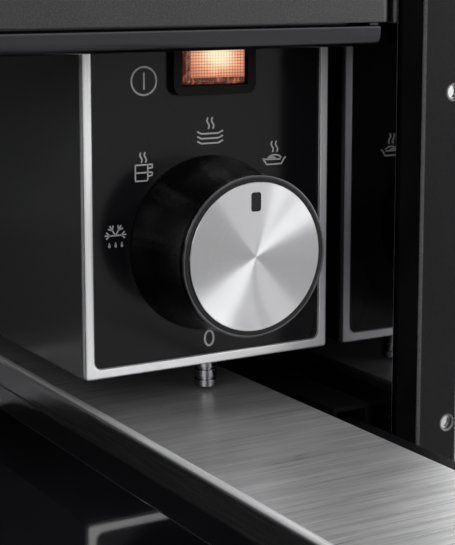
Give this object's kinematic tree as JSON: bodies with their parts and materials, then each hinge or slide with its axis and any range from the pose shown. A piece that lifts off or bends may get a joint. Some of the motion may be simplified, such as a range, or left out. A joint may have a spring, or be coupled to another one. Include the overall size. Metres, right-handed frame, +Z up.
{
  "type": "built-in warming drawer",
  "caption": "Shallow built-in warming drawer, drawn open: brushed ledge round dark glass, fixed control box with a knob and lit rocker, telescopic runners and fan heater.",
  "frame": {"origin": "centre of the carcass's underside, where it rests in the cabinet", "axes": "+X to the user's right, +Y into the cabinet, +Z up; the drawer is drawn fully open, towards -Y"},
  "size_m": [0.595, 0.907, 0.14],
  "materials": {
    "gloss_black_sheet": "gloss black enamel",
    "zinc_sheet": "galvanised sheet",
    "textured_grey": "fine textured powder coat",
    "trim_black": "satin black",
    "seal_rubber": "matt",
    "polished_metal": "polished",
    "black_glass": "gloss, opaque",
    "black_moulding": "fine matt",
    "knob_black": "gloss",
    "turned_aluminium": "turned face",
    "plain_steel": "bright",
    "phenolic": "matt",
    "amber_lens": "clear, prismatic back",
    "lamp_glass": "clear",
    "brushed_stainless": "brushed across the drawer",
    "runner_black": "black zinc",
    "mineral_wool": "loose fibre",
    "fan_aluminium": "as cast",
    "motor_iron": "laminated, varnished",
    "heater_sheath": "oxidised",
    "copper_bulb": "drawn",
    "white_moulding": "matt",
    "wire_sleeve": "woven sleeve"
  },
  "bodies": {
    "carcass": {"carcass_base": "zinc_sheet", "carcass_right_side": "gloss_black_sheet", "carcass_left_side": "gloss_black_sheet", "carcass_top": "zinc_sheet", "carcass_back": "zinc_sheet", "back_screws": "plain_steel", "top_front_rail": "textured_grey", "top_trim_bar": "trim_black", "right_stile": "textured_grey", "left_stile": "textured_grey", "side_seals": "seal_rubber", "control_box": "gloss_black_sheet", "panel_bezel": "polished_metal", "control_panel": "black_glass", "panel_carrier": "black_moulding", "thermostat": "phenolic", "switch_housing": "knob_black", "switch_lamp": "lamp_glass", "hold_down_pin": "polished_metal", "right_runner_outer": "runner_black", "left_runner_outer": "runner_black", "runner_screws": "plain_steel", "rear_baffle": "zinc_sheet", "latch_body": "black_moulding", "fan_motor": "motor_iron", "ring_heater": "heater_sheath", "sensor_bulb": "copper_bulb", "terminal_block": "white_moulding", "cord_gland": "black_moulding", "wiring_loom": "wire_sleeve"},
    "drawer": {"drawer_pan": "zinc_sheet", "ledge_plate": "brushed_stainless", "glass_rail": "brushed_stainless", "glass_floor": "black_glass", "floor_insulation": "mineral_wool", "front_brackets": "zinc_sheet", "front_glass": "black_glass", "front_carrier": "zinc_sheet", "front_inner_panel": "brushed_stainless", "front_trims": "brushed_stainless", "front_bumpers": "seal_rubber", "right_runner_inner": "runner_black", "left_runner_inner": "runner_black", "drawer_screws": "plain_steel"},
    "right_middle": {"right_runner_middle": "runner_black"},
    "left_middle": {"left_runner_middle": "runner_black"},
    "right_outer_balls": {"right_outer_cage": "plain_steel"},
    "left_outer_balls": {"left_outer_cage": "plain_steel"},
    "right_inner_balls": {"right_inner_cage": "plain_steel"},
    "left_inner_balls": {"left_inner_cage": "plain_steel"},
    "knob": {"knob_body": "knob_black", "knob_cap": "turned_aluminium", "knob_ring": "polished_metal", "knob_shaft": "plain_steel"},
    "rocker": {"switch_rocker": "amber_lens"},
    "fan": {"fan_impeller": "fan_aluminium"},
    "latch": {"latch_plunger": "white_moulding"}
  },
  "joints": [
    {"name": "drawer_slide", "type": "slide", "parent": "carcass", "child": "drawer", "axis": [0, 1, 0], "range_m": [0, 0.346]},
    {"name": "right_middle_slide", "type": "slide", "parent": "carcass", "child": "right_middle", "axis": [0, 1, 0], "range_m": [0, 0.173]},
    {"name": "right_outer_ball_slide", "type": "slide", "parent": "carcass", "child": "right_outer_balls", "axis": [0, 1, 0], "range_m": [0, 0.0865]},
    {"name": "right_inner_ball_slide", "type": "slide", "parent": "carcass", "child": "right_inner_balls", "axis": [0, 1, 0], "range_m": [0, 0.2595]},
    {"name": "left_middle_slide", "type": "slide", "parent": "carcass", "child": "left_middle", "axis": [0, 1, 0], "range_m": [0, 0.173]},
    {"name": "left_outer_ball_slide", "type": "slide", "parent": "carcass", "child": "left_outer_balls", "axis": [0, 1, 0], "range_m": [0, 0.0865]},
    {"name": "left_inner_ball_slide", "type": "slide", "parent": "carcass", "child": "left_inner_balls", "axis": [0, 1, 0], "range_m": [0, 0.2595]},
    {"name": "knob_turn", "type": "hinge", "parent": "carcass", "child": "knob", "pos_m": [0.238, -0.2358, 0.0752], "axis": [0, 1, 0], "range_deg": [-180, 45]},
    {"name": "rocker_tilt", "type": "hinge", "parent": "carcass", "child": "rocker", "pos_m": [0.2388, -0.2308, 0.123], "axis": [0, 0, 1], "range_deg": [0, 14]},
    {"name": "fan_spin", "type": "hinge", "parent": "carcass", "child": "fan", "pos_m": [-0.03745, 0.229, 0.088], "axis": [0, 1, 0], "continuous": true},
    {"name": "latch_push", "type": "slide", "parent": "carcass", "child": "latch", "axis": [0, 1, 0], "range_m": [0, 0.004], "stiffness_N_per_m": 400}
  ],
  "couplings": [
    {"joint": "right_middle_slide", "follows": "drawer_slide", "ratio": 0.5},
    {"joint": "right_outer_ball_slide", "follows": "drawer_slide", "ratio": 0.25},
    {"joint": "right_inner_ball_slide", "follows": "drawer_slide", "ratio": 0.75},
    {"joint": "left_middle_slide", "follows": "drawer_slide", "ratio": 0.5},
    {"joint": "left_outer_ball_slide", "follows": "drawer_slide", "ratio": 0.25},
    {"joint": "left_inner_ball_slide", "follows": "drawer_slide", "ratio": 0.75}
  ]
}
